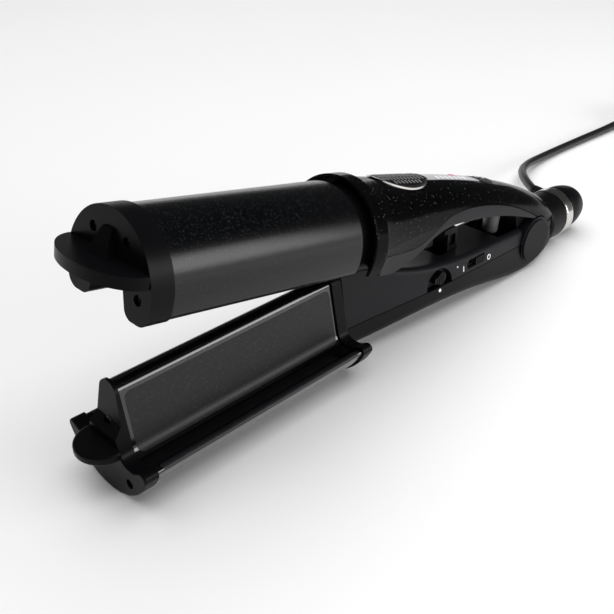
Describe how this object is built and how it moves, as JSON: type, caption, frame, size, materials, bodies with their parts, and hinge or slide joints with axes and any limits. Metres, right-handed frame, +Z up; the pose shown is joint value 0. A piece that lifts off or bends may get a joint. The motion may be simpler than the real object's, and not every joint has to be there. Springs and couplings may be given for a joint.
{
  "type": "deep-wave hair iron",
  "caption": "Deep-wave hair iron: an arched upper barrel closes over a tall ridge on the lower barrel; hinged two-arm handle, swivel cord and coiled lead with plug.",
  "frame": {"origin": "on the resting surface, under the middle of the iron's box, the cord left out", "axes": "+X from the tips toward the cord end, +Z up from the resting surface, -Y is the side with the lock lever and the power slider"},
  "size_m": [0.6933, 0.1053, 0.1109],
  "materials": {
    "barrel_ceramic": "satin",
    "cap_black": "satin",
    "gloss_black": "gloss",
    "matte_grey": "matte",
    "matte_black": "matte",
    "grip_black": "matte",
    "chrome_trim": "polished",
    "silver_strip": "satin",
    "post_grey": "satin",
    "disc_grey": "satin",
    "screw_steel": "satin",
    "heater_ceramic": "matte",
    "board_green": "satin",
    "inner_white": "matte",
    "cord_black": "matte",
    "pin_metal": "satin"
  },
  "bodies": {
    "lower_arm": {"lower_cap": "cap_black", "lower_cap_screws": "screw_steel", "lower_nose_screw": "screw_steel", "lower_barrel": "barrel_ceramic", "lower_heater": "heater_ceramic", "lower_heater_clip": "screw_steel", "lower_collar": "cap_black", "lower_handle_cover": "matte_grey", "lower_handle_shell": "matte_black", "lower_handle_screws": "screw_steel", "hinge_pin": "screw_steel", "hinge_discs": "disc_grey", "hinge_spring": "screw_steel", "switch_body": "inner_white", "terminal_block": "inner_white", "swivel_socket": "matte_black"},
    "upper_arm": {"upper_cap": "cap_black", "upper_cap_screws": "screw_steel", "upper_barrel": "barrel_ceramic", "upper_heaters": "heater_ceramic", "barrel_collar": "cap_black", "hood": "gloss_black", "upper_handle_shell": "gloss_black", "upper_handle_base": "matte_grey", "opening_post": "post_grey", "grip_rim": "chrome_trim", "grip_pad": "grip_black", "display_strip": "silver_strip", "button_pad": "matte_black", "control_board": "board_green"},
    "front_button": {"front_button": "matte_black"},
    "rear_button": {"rear_button": "matte_black"},
    "lock": {"lock_shaft": "screw_steel", "lock_lever": "matte_black"},
    "latch": {"latch_hook": "matte_grey"},
    "power_switch": {"power_slider": "matte_black"},
    "cord_swivel": {"swivel_ring": "chrome_trim", "swivel_head": "matte_black", "strain_relief": "cord_black", "power_cord": "cord_black", "cord_coil": "cord_black", "cord_tie": "cord_black", "cord_lead": "cord_black", "plug_body": "cord_black", "plug_pins": "pin_metal"}
  },
  "joints": [
    {"name": "arm_hinge", "type": "hinge", "parent": "lower_arm", "child": "upper_arm", "pos_m": [0.1065, 0, 0.0168], "axis": [0, -1, 0], "range_deg": [0, 12.3], "stiffness_Nm_per_rad": 0.8, "springref_deg": -34.38},
    {"name": "front_button_push", "type": "slide", "parent": "upper_arm", "child": "front_button", "axis": [-0.1934, 0, -0.9811], "range_m": [0, 0.0005], "stiffness_N_per_m": 800},
    {"name": "rear_button_push", "type": "slide", "parent": "upper_arm", "child": "rear_button", "axis": [-0.1934, 0, -0.9811], "range_m": [0, 0.0005], "stiffness_N_per_m": 800},
    {"name": "latch_slide", "type": "slide", "parent": "lower_arm", "child": "latch", "axis": [-1, 0, 0], "range_m": [0, 0.004]},
    {"name": "lock_turn", "type": "hinge", "parent": "lower_arm", "child": "lock", "pos_m": [0.0223, -0.0112, 0.0242], "axis": [0, 1, 0], "range_deg": [0, 30]},
    {"name": "power_slide", "type": "slide", "parent": "lower_arm", "child": "power_switch", "axis": [-1, 0, 0], "range_m": [0, 0.006]},
    {"name": "cord_swivel_turn", "type": "hinge", "parent": "lower_arm", "child": "cord_swivel", "pos_m": [0.15, 0, 0.0147], "axis": [1, 0, 0], "continuous": true}
  ],
  "couplings": [
    {"joint": "lock_turn", "follows": "latch_slide", "rad_per_m": 130}
  ]
}
